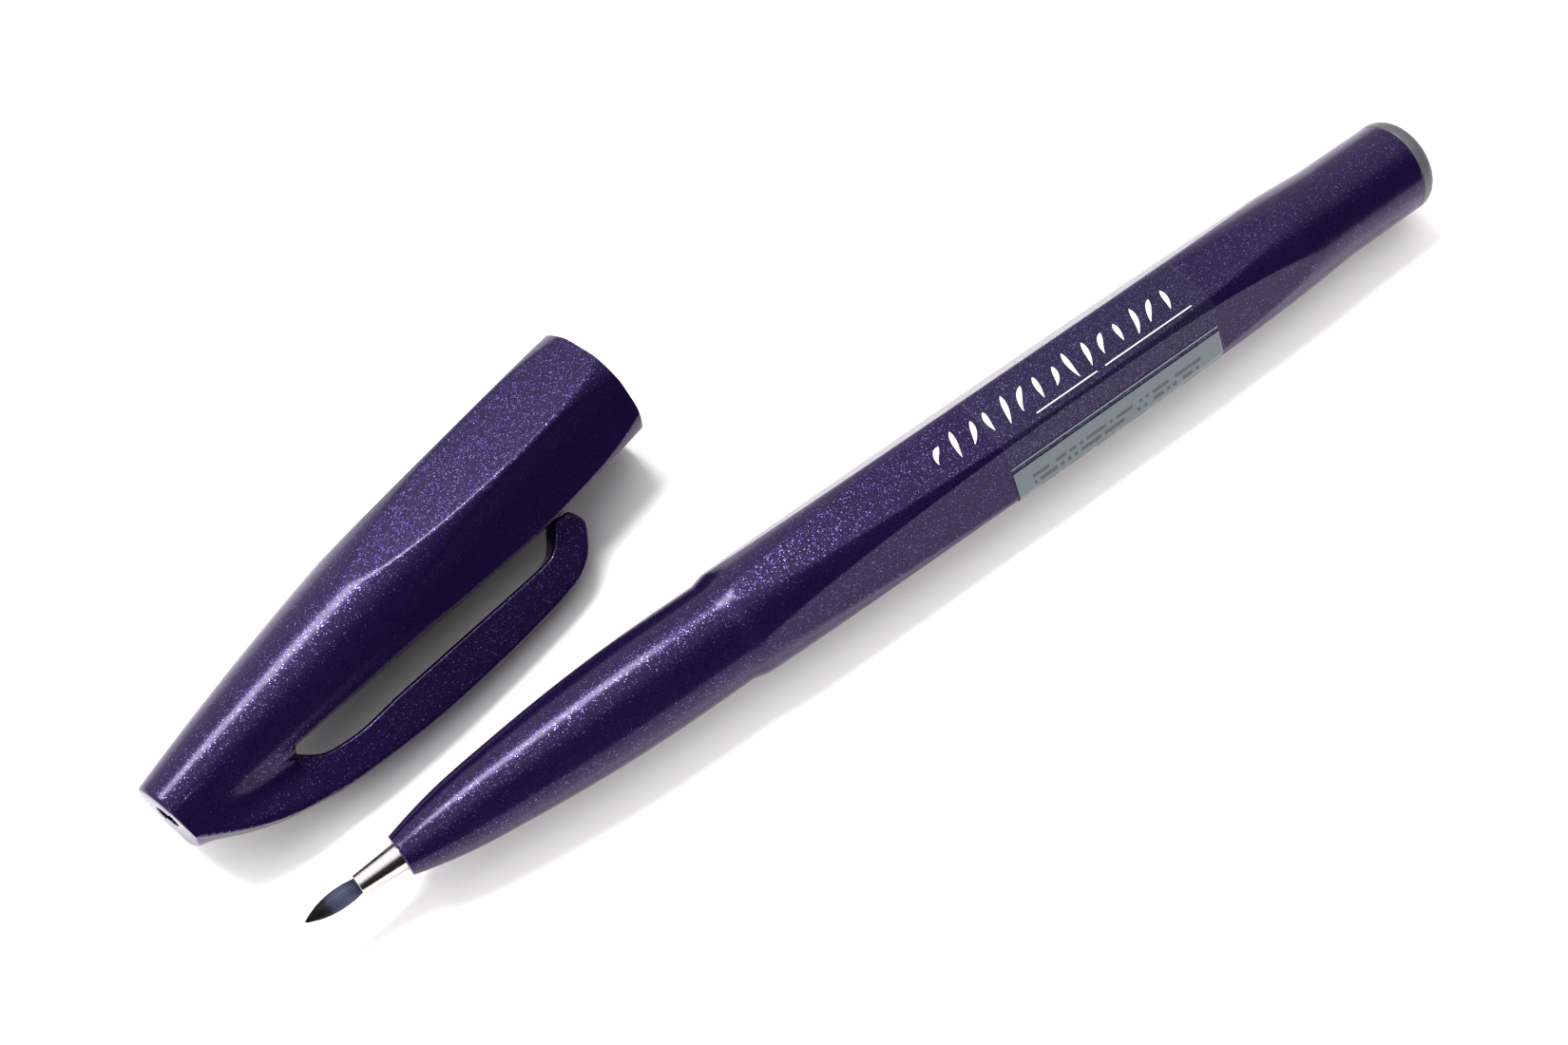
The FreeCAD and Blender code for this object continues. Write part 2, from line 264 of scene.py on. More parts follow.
lip_x = 5.2
lip_radius = 0.97
lip_bore = 0.80
sleeve_bore = 1.05
sleeve_step = 7.2
lip_roll = (lip_radius - lip_bore) / 2
sleeve_steps = 96
polish_spacing = 0.05
holder_outline = np.vstack([
    arc(lip_x + lip_roll, lip_bore + lip_roll, lip_roll, 270, 90, 9),
    [(nose_x, holder_radius), (holder_back, holder_radius), (holder_back, sleeve_bore),
     (sleeve_step, sleeve_bore), (sleeve_step, lip_bore)]])

# Drawn stainless steel: bright and hard-edged, with faint lines round it from polishing.
steel, tree, surface = new_material("stainless_steel_drawn_and_polished", {"Metallic": 1.0})
place = add(tree, "ShaderNodeTexCoord").outputs["Object"]
rings_at = add(tree, "ShaderNodeMapping", {}, {
    "Vector": place, "Scale": [1 / (polish_spacing * MM), 400, 400]})
lines = add(tree, "ShaderNodeTexNoise", {}, {
    "Vector": rings_at.outputs["Vector"], "Scale": 1.0, "Detail": 2.0})
tone = add(tree, "ShaderNodeMix", {"data_type": "RGBA"},
           {"Factor": lines.outputs["Fac"], "A": linear("#b5b1ab"), "B": linear("#d6d4d0")})
shine = add(tree, "ShaderNodeMapRange", {}, {"Value": lines.outputs["Fac"], "To Min": 0.10, "To Max": 0.22})
skin = add(tree, "ShaderNodeBump", {}, {
    "Strength": 0.15, "Distance": 0.01 * MM, "Height": lines.outputs["Fac"]})
for socket, value in (("Base Color", tone.outputs["Result"]), ("Roughness", shine.outputs["Result"]),
                      ("Normal", skin.outputs["Normal"])):
    tree.links.new(value, surface.inputs[socket])

sleeve_angles = np.arange(sleeve_steps) * 2 * np.pi / sleeve_steps
sleeve_rings = on_pen(holder_outline[:, :1], holder_outline[:, 1:], sleeve_angles)
sleeve = piece_from_rings("tip_sleeve", sleeve_rings, steel)
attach(sleeve, "pen")
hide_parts("tip_holder")

# ---------------------------------------------------------------- brush tip
# One leaf-shaped point of soft porous elastomer, ground to shape, with fine channels along it
# that carry the ink. It is black where the ink pools and blue-grey and half clear behind.

neck_start = 5.8
neck_radius = 0.45
tip_root = 6.25
channel_count = 22
channel_depth = 0.014
channel_fade_radius = 0.6
tip_steps = 132
tip_outline_step = 0.09
ink_length = 5.6
blot_reach = 0.9
strand_length = 1.5
strand_breadth = 0.09
bend_root_x = 5.75
bend_end_x = 2.8
tip_stations = [
    (0, 0), (0.12, 0.09), (0.9, 0.45), (2.0, 0.77), (3.3, 0.91), (4.5, 0.86), (5.1, 0.76), (5.7, 0.68)]
tip_outline = np.vstack([
    flow(tip_stations, tip_outline_step),
    [(neck_start, neck_radius), (tip_root, neck_radius), (tip_root, 0)]])

# Porous elastomer with ink: soft light comes through it, and its skin is damp and half gloss.
elastomer, tree, surface = new_material("porous_elastomer_ground_and_inked", {
    "IOR": 1.45, "Subsurface Weight": 0.2, "Subsurface Scale": 0.4 * MM, "Specular IOR Level": 0.1})
place = add(tree, "ShaderNodeTexCoord").outputs["Object"]
along = add(tree, "ShaderNodeSeparateXYZ", {}, {"Vector": place})
blot = add(tree, "ShaderNodeTexNoise", {}, {
    "Vector": place, "Scale": 1 / (blot_reach * MM), "Detail": 3.0})
edge = add(tree, "ShaderNodeMath", {"operation": "MULTIPLY_ADD"},
           {0: blot.outputs["Fac"], 1: blot_reach * MM, 2: along.outputs["X"]})
tip_end = pen_point[0] * MM
from_point = add(tree, "ShaderNodeMapRange", {}, {
    "Value": edge.outputs["Value"], "From Min": tip_end, "From Max": tip_end + ink_length * MM})
ink = add(tree, "ShaderNodeValToRGB", {}, {"Fac": from_point.outputs["Result"]})
stops = ink.color_ramp.elements
# Past the blue-grey stretch the colour is drawn darker again over the last millimetre before the sleeve.
stops[0].position, stops[0].color = 0.36, linear("#020203")
stops[1].position, stops[1].color = 0.98, linear("#202334")
for position, code in ((0.45, "#101119"), (0.54, "#2f3246"), (0.80, "#3a3e54")):
    stops.new(position).color = linear(code)
strands_at = add(tree, "ShaderNodeMapping", {}, {
    "Vector": place,
    "Scale": [1 / (strand_length * MM), 1 / (strand_breadth * MM), 1 / (strand_breadth * MM)]})
strands = add(tree, "ShaderNodeTexNoise", {}, {
    "Vector": strands_at.outputs["Vector"], "Scale": 1.0, "Detail": 2.0})
streak = add(tree, "ShaderNodeMapRange", {}, {"Value": strands.outputs["Fac"], "To Min": 0.7, "To Max": 1.25})
colour = add(tree, "ShaderNodeVectorMath", {"operation": "MULTIPLY"},
             {0: ink.outputs["Color"], 1: streak.outputs["Result"]})
shine = add(tree, "ShaderNodeMapRange", {}, {"Value": strands.outputs["Fac"], "To Min": 0.28, "To Max": 0.5})
skin = add(tree, "ShaderNodeBump", {}, {
    "Strength": 0.4, "Distance": 0.02 * MM, "Height": strands.outputs["Fac"]})
for socket, value in (("Base Color", colour.outputs["Vector"]), ("Roughness", shine.outputs["Result"]),
                      ("Normal", skin.outputs["Normal"])):
    tree.links.new(value, surface.inputs[socket])

tip_angles = np.arange(tip_steps) * 2 * np.pi / tip_steps
fade = np.clip(tip_outline[:, 1:] / channel_fade_radius, 0, 1) * (tip_outline[:, 1:] > neck_radius)
channels = channel_depth * fade * np.cos(channel_count * tip_angles)
tip_rings = on_pen(tip_outline[:, :1], tip_outline[:, 1:] - channel_depth + channels, tip_angles)
brush_tip = piece_from_rings("brush_point", tip_rings, elastomer)
on_pen(bend_root_x, 0, 0)
on_pen(bend_end_x, 0, 0)
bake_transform(brush_tip)
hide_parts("brush_tip")

# ---------------------------------------------------------------- ink parts inside the barrel
# A plastic bush, a bonded-fibre feed rod and a bundle of polyester fibre in a wound film carry
# the ink to the tip. They are turned, cut and pushed in from the tail, and nothing shows of them.


def inner_material(name, dark, light, grain, rough, sockets=None, stretch=1.0):
    """Colour and bump from one noise of the grain's size in millimetres, drawn out along the pen."""
    made, tree, surface = new_material(name, {"Roughness": rough, **(sockets or {})})
    place = add(tree, "ShaderNodeTexCoord").outputs["Object"]
    fine = 1 / (grain * MM)
    drawn = add(tree, "ShaderNodeMapping", {}, {"Vector": place, "Scale": [fine / stretch, fine, fine]})
    grains = add(tree, "ShaderNodeTexNoise", {}, {
        "Vector": drawn.outputs["Vector"], "Scale": 1.0, "Detail": 3.0})
    tone = add(tree, "ShaderNodeMix", {"data_type": "RGBA"},
               {"Factor": grains.outputs["Fac"], "A": linear(dark), "B": linear(light)})
    skin = add(tree, "ShaderNodeBump", {}, {"Strength": 0.3, "Distance": grain * 0.1 * MM,
                                            "Height": grains.outputs["Fac"]})
    tree.links.new(tone.outputs["Result"], surface.inputs["Base Color"])
    tree.links.new(skin.outputs["Normal"], surface.inputs["Normal"])
    return made


# Natural polyethylene is milky, inked polyester fibre is matt with strands along it, and the
# wound film is a thin gloss skin.
polyethylene = inner_material("polyethylene_natural_moulded", "#cfcdc6", "#e6e4dd", 0.4, 0.45)
fibre = inner_material("polyester_fibre_bonded_and_inked", "#2a1a58", "#4b3a86", 0.06, 0.9, stretch=25)
wrap_film = inner_material("polypropylene_film_wound", "#8d86a6", "#aaa4c0", 0.8, 0.25, {"Coat Weight": 0.3})
for node, material in (("nib_seat", polyethylene), ("feed_rod", fibre), ("ink_reservoir", fibre),
                       ("reservoir_wrap", wrap_film)):
    frame["nodes"][node].data.materials.clear()
    frame["nodes"][node].data.materials.append(material)

# ---------------------------------------------------------------- tail plug
# A grey polypropylene plug pushed into the tail. Its rim is rounded, a shallow dimple marks where
# the plastic entered the mould, and a post behind it stops the ink reservoir.

rim_round = 1.1
rim_gap_edge = 0.10
dimple_radius = 1.3
dimple_depth = 0.22
dimple_slope = 0.35
dimple_inner_edge = 0.06
dimple_outer_edge = 0.08
plug_steps = 144
spigot_x = 121.2
spigot_bore = 3.2
post_x = 112.1
post_radius = 1.4
plug_outline = np.vstack([
    [(pen_length - dimple_depth, 0), (pen_length - dimple_depth, dimple_radius - dimple_slope)],
    [(pen_length - dimple_inner_edge, dimple_radius - dimple_inner_edge),
     (pen_length, dimple_radius + dimple_outer_edge)],
    arc(pen_length - rim_round, land_radius - rim_round, rim_round, 0, 90, 9),
    arc(tail_x + rim_gap_edge, land_radius - rim_gap_edge, rim_gap_edge, 90, 180, 4),
    [(tail_x, bore_radius), (spigot_x, bore_radius), (spigot_x, spigot_bore), (tail_x, spigot_bore),
     (tail_x, post_radius), (post_x, post_radius), (post_x, 0)]])

# Satin polypropylene: an even grey with a slight grain from the mould's spark-worked face.
grey_plastic = inner_material("grey_polypropylene_moulded_satin", "#3f4045", "#4a4b51", 0.25, 0.38)

plug_angles = np.arange(plug_steps) * 2 * np.pi / plug_steps
plug_rings = on_pen(plug_outline[:, :1], plug_outline[:, 1:], plug_angles)
plug = piece_from_rings("end_plug", plug_rings, grey_plastic, closed=False)
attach(plug, "pen")
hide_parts("tail_plug")

# ---------------------------------------------------------------- film label
# A clear film wound part of the way round the fullest stretch of the barrel. A grey-blue panel
# is printed on its near side, with a rule above it and rows of small print that mean nothing.

label_start = 73.0
label_length = 26.5
label_lift = 0.05
film_thickness = 0.04
label_rows, label_columns = 54, 200
label_first, label_last = np.radians([36, 204])
label_x = np.linspace(label_start, label_start + label_length, label_rows)
label_angles = np.linspace(label_first, label_last, label_columns)
label_radii = barrel_radius(label_x[:, None], label_angles[None, :])
label_points = on_pen(label_x[:, None], label_radii + label_lift, label_angles[None, :])
around = (label_angles - np.pi / 2) * flat_distance
grid = np.arange(label_x.size * label_angles.size).reshape(label_x.size, label_angles.size)
label_quads = np.stack([grid[:-1, :-1], grid[1:, :-1], grid[1:, 1:], grid[:-1, 1:]], axis=-1).reshape(-1, 4)
label_mesh = bpy.data.meshes.new("film_wrap")
label_mesh.from_pydata(label_points.reshape(-1, 3).tolist(), [], label_quads.tolist())
print_place = label_mesh.attributes.new("print_mm", "FLOAT_VECTOR", "POINT")
print_place.data.foreach_set("vector", np.stack(np.broadcast_arrays(
    label_x[:, None] - label_start, around[None, :], 0.0), axis=-1).ravel())
label_mesh.update()

# Polypropylene film: nearly clear with a gloss face. The panel, its rule and its print are opaque ink.
film, tree, surface = new_material("polypropylene_film_clear_printed", {
    "Roughness": 0.18, "IOR": 1.49, "Coat Weight": 0.3, "Coat Roughness": 0.05})
printed_at = add(tree, "ShaderNodeAttribute", {"attribute_name": "print_mm"}).outputs["Vector"]
spot = add(tree, "ShaderNodeSeparateXYZ", {}, {"Vector": printed_at})
u, v = spot.outputs["X"], spot.outputs["Y"]


def step(value, limit, operation="GREATER_THAN"):
    """1 where the value is past the limit."""
    return add(tree, "ShaderNodeMath", {"operation": operation}, {0: value, 1: limit}).outputs["Value"]


def product(*values):
    """All the masks at once."""
    whole = values[0]
    for value in values[1:]:
        whole = add(tree, "ShaderNodeMath", {"operation": "MULTIPLY"}, {0: whole, 1: value}).outputs["Value"]
    return whole


def band(value, low, high):
    """1 between two limits."""
    return product(step(value, low), step(value, high, "LESS_THAN"))


panel_top = 5.72
panel_margin = 0.25
rule_low, rule_high = panel_top - 0.62, panel_top - 0.46
row_height = 0.62
letter_pitch = 0.42
gap_share = 0.34
row_low, row_high = 0.18, 0.72
print_low, print_high = panel_top + 1.1, panel_top + 3.2
print_start, print_end = 2.2, 23.5
panel = product(step(v, panel_top), band(u, panel_margin, label_length - panel_margin))
rule = product(band(v, rule_low, rule_high), band(u, panel_margin, label_length - panel_margin))
row = add(tree, "ShaderNodeMath", {"operation": "DIVIDE"}, {0: v, 1: row_height}).outputs["Value"]
letter = add(tree, "ShaderNodeMath", {"operation": "DIVIDE"}, {0: u, 1: letter_pitch}).outputs["Value"]
within_row = add(tree, "ShaderNodeMath", {"operation": "FRACT"}, {0: row})
marks_at = add(tree, "ShaderNodeCombineXYZ", {}, {"X": letter, "Y": row})
whole_marks = add(tree, "ShaderNodeVectorMath", {"operation": "FLOOR"}, {0: marks_at.outputs["Vector"]})
luck = add(tree, "ShaderNodeTexWhiteNoise", {"noise_dimensions": "3D"}, {
    "Vector": whole_marks.outputs["Vector"]})
small_print = product(
    step(luck.outputs["Value"], gap_share), band(within_row.outputs["Value"], row_low, row_high),
    band(v, print_low, print_high), band(u, print_start, print_end))

mottle = add(tree, "ShaderNodeTexNoise", {}, {"Vector": printed_at, "Scale": 3.0, "Detail": 3.0})
panel_tone = add(tree, "ShaderNodeMix", {"data_type": "RGBA"},
                 {"Factor": mottle.outputs["Fac"], "A": linear("#404951"), "B": linear("#4c565e")})
colour = panel_tone.outputs["Result"]
for mask, code in ((small_print, "#20262e"), (rule, "#565d6b")):
    colour = add(tree, "ShaderNodeMix", {"data_type": "RGBA"},
                 {"Factor": mask, "A": colour, "B": linear(code)}).outputs["Result"]
covered = add(tree, "ShaderNodeMath", {"operation": "MAXIMUM"}, {0: panel, 1: rule})
opacity = add(tree, "ShaderNodeMapRange", {}, {
    "Value": covered.outputs["Value"], "To Min": 0.03, "To Max": 1.0})
for socket, value in (("Base Color", colour), ("Alpha", opacity.outputs["Result"])):
    tree.links.new(value, surface.inputs[socket])

label_mesh.materials.append(film)
label_mesh.shade_smooth()
label = bpy.data.objects.new("film_wrap", label_mesh)
bpy.context.scene.collection.objects.link(label)
thickness = label.modifiers.new("film_thickness", "SOLIDIFY")
thickness.thickness = film_thickness * MM
thickness.offset = -1
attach(label, "pen")
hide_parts("film_label")

# ---------------------------------------------------------------- printed marks
# White ink is screen printed along the top: a row of plain dabs of a brush, each pointed at both
# ends, over a thin rule. They stand on the barrel and the film, and mean nothing.

dab_count = 15
dab_pitch = 2.0
dabs_start = label_start - 5.0
dab_length = 3.1
dab_breadth = 0.50
dab_middle = 0.15
dab_steps = 19
dab_bow = 0.5
dab_fullness = 0.8
dab_heavy_end = 0.45
dab_point = 0.02
uneven_steps = (0.618, 0.414, 0.732)
dab_lean = 52
dab_lean_spread = 34
least_dab = 0.62
ink_lift = 0.075
ink_thickness = 0.02
rule_places = [(label_start + 5.0, label_start + 12.5), (label_start + 13.5, label_start + 24.5)]
rule_across = 2.05
rule_breadth = 0.10
rule_steps = 24
ribbon_places = (0.5, 0.17, -0.17, -0.5)


def ribbon(spine, widths):
    """Corners and faces of a flat ribbon along a spine of (along, across) places, in millimetres."""
    run = np.gradient(spine, axis=0)
    beside = np.column_stack([-run[:, 1], run[:, 0]]) / np.linalg.norm(run, axis=1)[:, None]
    spots = np.stack([spine + beside * widths[:, None] * side for side in ribbon_places], axis=1)
    order = np.arange(spots.shape[0] * 4).reshape(-1, 4)
    faces = np.stack([order[:-1, :-1], order[:-1, 1:], order[1:, 1:], order[1:, :-1]], axis=-1)
    return spots.reshape(-1, 2), faces.reshape(-1, 4)


ribbons = []
along_dab = np.linspace(-1, 1, dab_steps)
for number in range(dab_count):
    chance_lean, chance_bend, chance_size = [(number * step_on) % 1 for step_on in uneven_steps]
    half = dab_length * (least_dab + (1 - least_dab) * chance_size) / 2
    lean = np.radians(dab_lean + dab_lean_spread * chance_lean)
    bow = dab_bow * (chance_bend - 0.5) * (1 - along_dab ** 2)
    spine = np.column_stack([
        dabs_start + dab_pitch * number + half * along_dab * np.cos(lean) + bow * np.sin(lean),
        dab_middle - half * along_dab * np.sin(lean) + bow * np.cos(lean)])
    widths = dab_breadth * (1 - along_dab ** 2) ** dab_fullness * (1 + dab_heavy_end * along_dab)
    widths = widths + dab_point
    ribbons.append(ribbon(spine, widths))
for rule_start, rule_end in rule_places:
    spine = np.column_stack([np.linspace(rule_start, rule_end, rule_steps), np.full(rule_steps, rule_across)])
    ribbons.append(ribbon(spine, np.full(rule_steps, rule_breadth)))

ink_places, ink_faces, count = [], [], 0
for spots, faces in ribbons:
    ink_places.append(spots)
    ink_faces.append(faces + count)
    count += len(spots)
ink_places, ink_faces = np.vstack(ink_places), np.vstack(ink_faces)
ink_angles = np.pi / 2 + ink_places[:, 1] / flat_distance
ink_radii = barrel_radius(ink_places[:, 0], ink_angles) + ink_lift
ink_mesh = bpy.data.meshes.new("brush_marks")
ink_mesh.from_pydata(on_pen(ink_places[:, 0], ink_radii, ink_angles).tolist(), [], ink_faces.tolist())

# Screen-printing ink: opaque white, matt, with the faint mottle that the mesh leaves.
white_ink = inner_material("white_ink_screen_printed", "#d9d8dc", "#efeef2", 0.12, 0.5)
ink_mesh.materials.append(white_ink)
ink_mesh.shade_smooth()
marks = bpy.data.objects.new("brush_marks", ink_mesh)
bpy.context.scene.collection.objects.link(marks)
thickness = marks.modifiers.new("ink_thickness", "SOLIDIFY")
thickness.thickness = ink_thickness * MM
thickness.offset = 0
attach(marks, "pen")

# ---------------------------------------------------------------- cap shell
# The cap is a second moulding of the same plastic: a cone at its closed end that opens into six
# flats, one of them slanted to make room under the clip. A vent goes through its end, and a
# straight bore in its mouth grips the round land in front of the shoulder.

cap_mouth = [mount for mount in frame["record"]["mounts"] if mount["name"] == "cap_mouth"][0]
clip_joint = [joint for joint in frame["joints"] if joint["name"] == "clip_flex"][0]
cap_axis = np.array(cap_mouth["axis"])
clip_hinge = np.array(clip_joint["pos_m"]) / MM
clip_across = np.array(clip_joint["axis"])
clip_side = np.cross(clip_across, cap_axis)
hinge_x = 12.5
hinge_radius = 7.6
cap_end = clip_hinge - cap_axis * hinge_x - clip_side * hinge_radius

cap_length = 54.8
cap_flat = 6.20
end_radius = 3.5
end_edge = 0.35
vent_radius = 1.2
vent_edge = 0.1
mouth_radius = 6.60
mouth_edge = 0.3
mouth_bore = 5.05
mouth_depth = 9.0
mouth_chamfer = 0.25
throat_wide = (26, 4.105)
throat_narrow = (1.5, 1.9)
under_clip_x = 10.9
under_clip_radius = 3.43
under_clip_slope = 2.5 / 28.2
under_clip_wall = 3.5
under_clip_softness = 0.10
clip_half_width = 1.70
root_half_width = 3.10
root_fillet = 1.6
root_gap = 0.4
root_flank_sink = 0.04
root_softness = 0.5
crest_sink = 0.10
crest_rise = 0.3
crest_rise_share = 0.4
cap_outline_step = 0.5
clip_side_reach = 72
clip_side_step, far_side_step = 0.75, 1.5
cap_stations = [(end_edge, end_radius), (12, 5.05), (24, 6.20), (31, 6.68), (37, 6.95), (44, 7.05),
                (50, 6.95), (cap_length - mouth_edge, mouth_radius)]
clip_back = [(0.2, 2.9), (5.5, 6.75), (12.5, 9.35), (21.0, 10.85), (30.0, 11.60), (37.5, 11.75)]


def on_cap(x, radius, angle):
    """Points of the cap in metres; x runs from its closed end, the angle turns from the clip."""
    x, radius, angle = [part[..., None] for part in np.broadcast_arrays(x, radius, angle)]
    spot = cap_axis * x + clip_side * radius * np.cos(angle) + clip_across * radius * np.sin(angle)
    return (cap_end + spot) * MM


def cap_radius(x, turned, angle):
    """Outside of the cap: six flats, the slanted flat, and the wide fillet round the clip's root."""
    radius = with_flats(turned, angle, cap_flat, 0, flat_softness)
    towards = np.maximum(np.cos(angle), 0.05)
    rise = np.where(x > under_clip_x, under_clip_slope, -under_clip_wall) * (x - under_clip_x)
    radius = soft_min(radius, (under_clip_radius + rise) / towards, under_clip_softness)
    back = flow(clip_back, cap_outline_step)
    left = np.clip(1 - x / under_clip_x, 0, 1)
    lifted = crest_rise * np.minimum(left, crest_rise_share)
    crest = np.interp(x, back[:, 0], back[:, 1]) - crest_sink + lifted
    half_width = clip_half_width - root_flank_sink + (root_half_width - clip_half_width) * left
    flank = half_width / np.maximum(np.abs(np.sin(angle)), 1e-3)
    fin = soft_min(flank, crest / towards, root_softness)
    fin = np.where((np.cos(angle) > 0) & (x < under_clip_x - root_gap), fin, 0)
    return -soft_min(-radius, -fin, root_fillet)


cap_outside = np.vstack([
    [(0, vent_radius + vent_edge)],
    arc(end_edge, end_radius - end_edge, end_edge, 180, 90, 6),
    flow(cap_stations, cap_outline_step)[1:],
    arc(cap_length - mouth_edge, mouth_radius - mouth_edge, mouth_edge, 90, 0, 6)[1:]])
cap_inside = np.array([
    (cap_length, mouth_bore + mouth_chamfer), (cap_length - mouth_chamfer, mouth_bore),
    (cap_length - mouth_depth, mouth_bore), throat_wide, throat_narrow, (throat_narrow[0], vent_radius),
    (vent_edge, vent_radius)])
cap_angles = np.radians(np.concatenate([
    np.arange(-clip_side_reach, clip_side_reach, clip_side_step),
    np.arange(clip_side_reach, 360 - clip_side_reach, far_side_step)]))
outside_radii = cap_radius(cap_outside[:, :1], cap_outside[:, 1:], cap_angles[None, :])
inside_radii = np.repeat(cap_inside[:, 1:], cap_angles.size, axis=1)
cap_rings = np.concatenate([on_cap(cap_outside[:, :1], outside_radii, cap_angles),
                            on_cap(cap_inside[:, :1], inside_radii, cap_angles)])
cap = piece_from_rings("cap_body", cap_rings, violet_mica)
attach(cap, "cap")
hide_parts("cap_shell")

# ---------------------------------------------------------------- cap liner
# A plain violet inner cap, pushed in from the mouth, seals round the grip cone so that the tip
# stays wet. Four ribs hold it off the shell and let air through if the cap is swallowed.

liner_plastic = inner_material("violet_polypropylene_moulded_satin", "#24154e", "#2e1c60", 0.3, 0.42)
frame["nodes"]["cap_liner"].data.materials.clear()
frame["nodes"]["cap_liner"].data.materials.append(liner_plastic)

# ---------------------------------------------------------------- clip
# The clip is moulded with the cap. It rises out of the closed end as a flat-sided bar with
# softened edges, runs back over the slanted flat, and its toe turns in until it nearly touches the cap.

# Each row is a place on the face towards the cap, then the place on the back across from it.
clip_stations = [
    (1.0, 2.4, 0.25, 2.95), (4.0, 2.6, 2.6, 4.75), (8.0, 3.0, 5.8, 6.9), (10.4, 3.3, 8.3, 7.98),
    (11.1, 4.35, 10.2, 8.68), (12.3, 5.55, 12.0, 9.24), (14.8, 6.40, 14.8, 9.82),
    (21.0, 6.91, 21.0, 10.85), (28.0, 7.48, 28.0, 11.48), (34.0, 7.97, 34.0, 11.74),
    (37.6, 8.24, 37.8, 11.74), (39.0, 8.27, 40.2, 11.50), (39.9, 8.02, 42.0, 10.75),
    (40.7, 7.48, 43.4, 9.50), (41.5, 6.75, 44.3, 8.15), (41.95, 6.34, 43.9, 6.80)]
edge_round = 0.38
corner_steps = 6
clip_outline_step = 0.45
toe_round = 0.25
spring_start, spring_end = 9.0, 20.0


def bar_section(inner, outer, inset=0.0):
    """A rounded rectangle across the bar, between the inner and outer places, shrunk by the inset."""
    reach = np.linalg.norm(outer - inner)
    along = (outer - inner) / reach
    middle = (inner + outer) / 2
    half_depth, half_width = reach / 2 - inset, clip_half_width - inset
    loop = []
    for quarter, (deep, wide) in enumerate(((1, 1), (-1, 1), (-1, -1), (1, -1))):
        turn = np.radians(np.linspace(90 * quarter, 90 * quarter + 90, corner_steps))
        across = deep * (half_depth - edge_round) + edge_round * np.cos(turn)
        beside = wide * (half_width - edge_round) + edge_round * np.sin(turn)
        loop.append(np.column_stack([middle + along * across[:, None], beside]))
    return np.vstack(loop)


clip_rows = flow(clip_stations, clip_outline_step)
sections = [bar_section(row[:2], row[2:]) for row in clip_rows]
last_in, last_out = clip_rows[-1][:2], clip_rows[-1][2:]
ahead = (clip_rows[-1] - clip_rows[-2])[:2] + (clip_rows[-1] - clip_rows[-2])[2:]
ahead = ahead / np.linalg.norm(ahead)
for turn in np.radians((30, 60, 90)):
    push = ahead * toe_round * np.sin(turn)
    sections.append(bar_section(last_in + push, last_out + push, toe_round * (1 - np.cos(turn))))
clip_local = np.array(sections)
clip_rings = (cap_end + clip_local[..., :1] * cap_axis + clip_local[..., 1:2] * clip_side
              + clip_local[..., 2:] * clip_across) * MM
clip = piece_from_rings("clip_bar", clip_rings, violet_mica, closed=False)
on_cap(spring_start, hinge_radius, 0)
on_cap(spring_end, hinge_radius, 0)
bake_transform(clip)
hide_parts("clip")

# ---------------------------------------------------------------- table, light and camera
# A plain white table under a long softbox behind and above the pen, with a weak lamp low in front,
# in a white room that is darker in front. The camera looks down at 60 degrees, from the brush's end.

table_mesh = bpy.data.meshes.new("table_top")
table_half = 3.0
table_corners = [(x * table_half, y * table_half, 0) for x, y in ((-1, -1), (1, -1), (1, 1), (-1, 1))]
table_mesh.from_pydata(table_corners, [], [(0, 1, 2, 3)])
paper, tree, surface = new_material("white_card_matt", {"Roughness": 0.9, "Specular IOR Level": 0.1})
place = add(tree, "ShaderNodeTexCoord").outputs["Object"]
grain = add(tree, "ShaderNodeTexNoise", {}, {"Vector": place, "Scale": 1 / (2 * MM), "Detail": 3.0})
tone = add(tree, "ShaderNodeMix", {"data_type": "RGBA"},
           {"Factor": grain.outputs["Fac"], "A": linear("#efeeec"), "B": linear("#f4f3f1")})
tree.links.new(tone.outputs["Result"], surface.inputs["Base Color"])
table_mesh.materials.append(paper)
table = bpy.data.objects.new("table_top", table_mesh)
bpy.context.scene.collection.objects.link(table)
table.location.z = -0.02 * MM

box_light = bpy.data.lights.new("softbox", "AREA")
box_light.shape = "RECTANGLE"
box_light.size, box_light.size_y = 0.275, 0.10
box_light.energy = 2.3
box_light.color = (1.0, 0.985, 0.96)
softbox = bpy.data.objects.new("softbox", box_light)
softbox.location = (-0.072, 0.186, 0.40)
softbox_aim = Vector((-0.072, 0, 0))
softbox.rotation_euler = (softbox_aim - softbox.location).to_track_quat("-Z", "Y").to_euler()
bpy.context.scene.collection.objects.link(softbox)

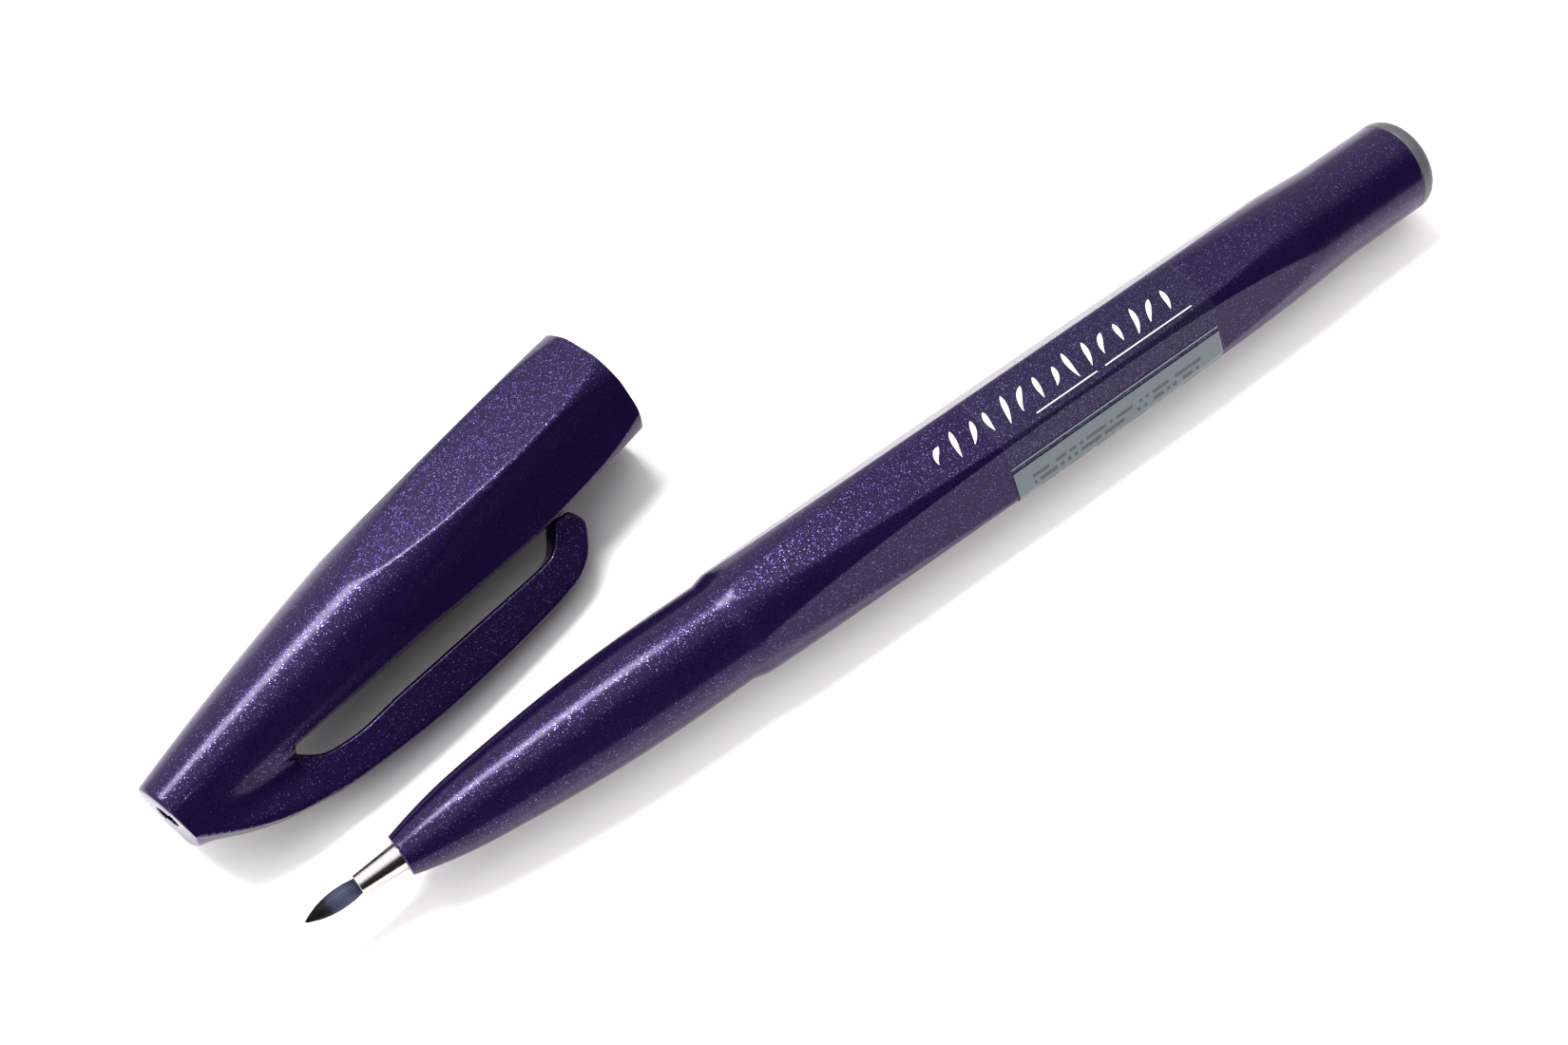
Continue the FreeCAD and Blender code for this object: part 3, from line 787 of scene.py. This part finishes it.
# The lamp in front lightens the shadows, and is kept out of the gloss.
fill_light = bpy.data.lights.new("fill", "AREA")
fill_light.shape = "DISK"
fill_light.size = 0.3
fill_light.energy = 3.2
fill_light.color = (1.0, 0.99, 0.97)
fill = bpy.data.objects.new("fill", fill_light)
fill.location = (-0.05, -0.55, 0.20)
fill.rotation_euler = (-fill.location).to_track_quat("-Z", "Y").to_euler()
fill.visible_glossy = False
bpy.context.scene.collection.objects.link(fill)

room = bpy.data.worlds.new("white_room")
room.use_nodes = True
tree = room.node_tree
way = add(tree, "ShaderNodeTexCoord").outputs["Generated"]
bright_side = add(tree, "ShaderNodeVectorMath", {"operation": "DOT_PRODUCT"}, {
    0: way, 1: [-0.60, 0.35, 0.72]})
bright = add(tree, "ShaderNodeMapRange", {}, {
    "Value": bright_side.outputs["Value"], "From Min": -0.3, "From Max": 0.85,
    "To Min": 0.45, "To Max": 1.65})
dark_side = add(tree, "ShaderNodeVectorMath", {"operation": "DOT_PRODUCT"}, {
    0: way, 1: [0.25, -0.90, 0.36]})
dark = add(tree, "ShaderNodeMapRange", {"interpolation_type": "SMOOTHSTEP"}, {
    "Value": dark_side.outputs["Value"], "From Min": 0.40, "From Max": 0.78, "To Min": 1.0, "To Max": 0.03})
glow = add(tree, "ShaderNodeMath", {"operation": "MULTIPLY"}, {
    0: bright.outputs["Result"], 1: dark.outputs["Result"]})
tree.links.new(glow.outputs["Value"], tree.nodes["Background"].inputs["Strength"])
tree.nodes["Background"].inputs["Color"].default_value = linear("#fdfdff")
bpy.context.scene.world = room
bpy.context.scene.view_settings.view_transform = "Standard"

azimuth, elevation = np.radians([-38.25, 60])
aim = Vector((-5.97, -6.17, 0)) * MM
distance = 197.5 * MM
away = Vector((
    np.sin(azimuth) * np.cos(elevation), -np.cos(azimuth) * np.cos(elevation), np.sin(elevation)))
camera_data = bpy.data.cameras.new("camera")
camera_data.lens = 48
camera_data.sensor_width = 36
camera_data.clip_start = 0.01
camera = bpy.data.objects.new("camera", camera_data)
camera.location = aim + away * distance
camera.rotation_euler = away.to_track_quat("Z", "Y").to_euler()
bpy.context.scene.collection.objects.link(camera)
bpy.context.scene.camera = camera
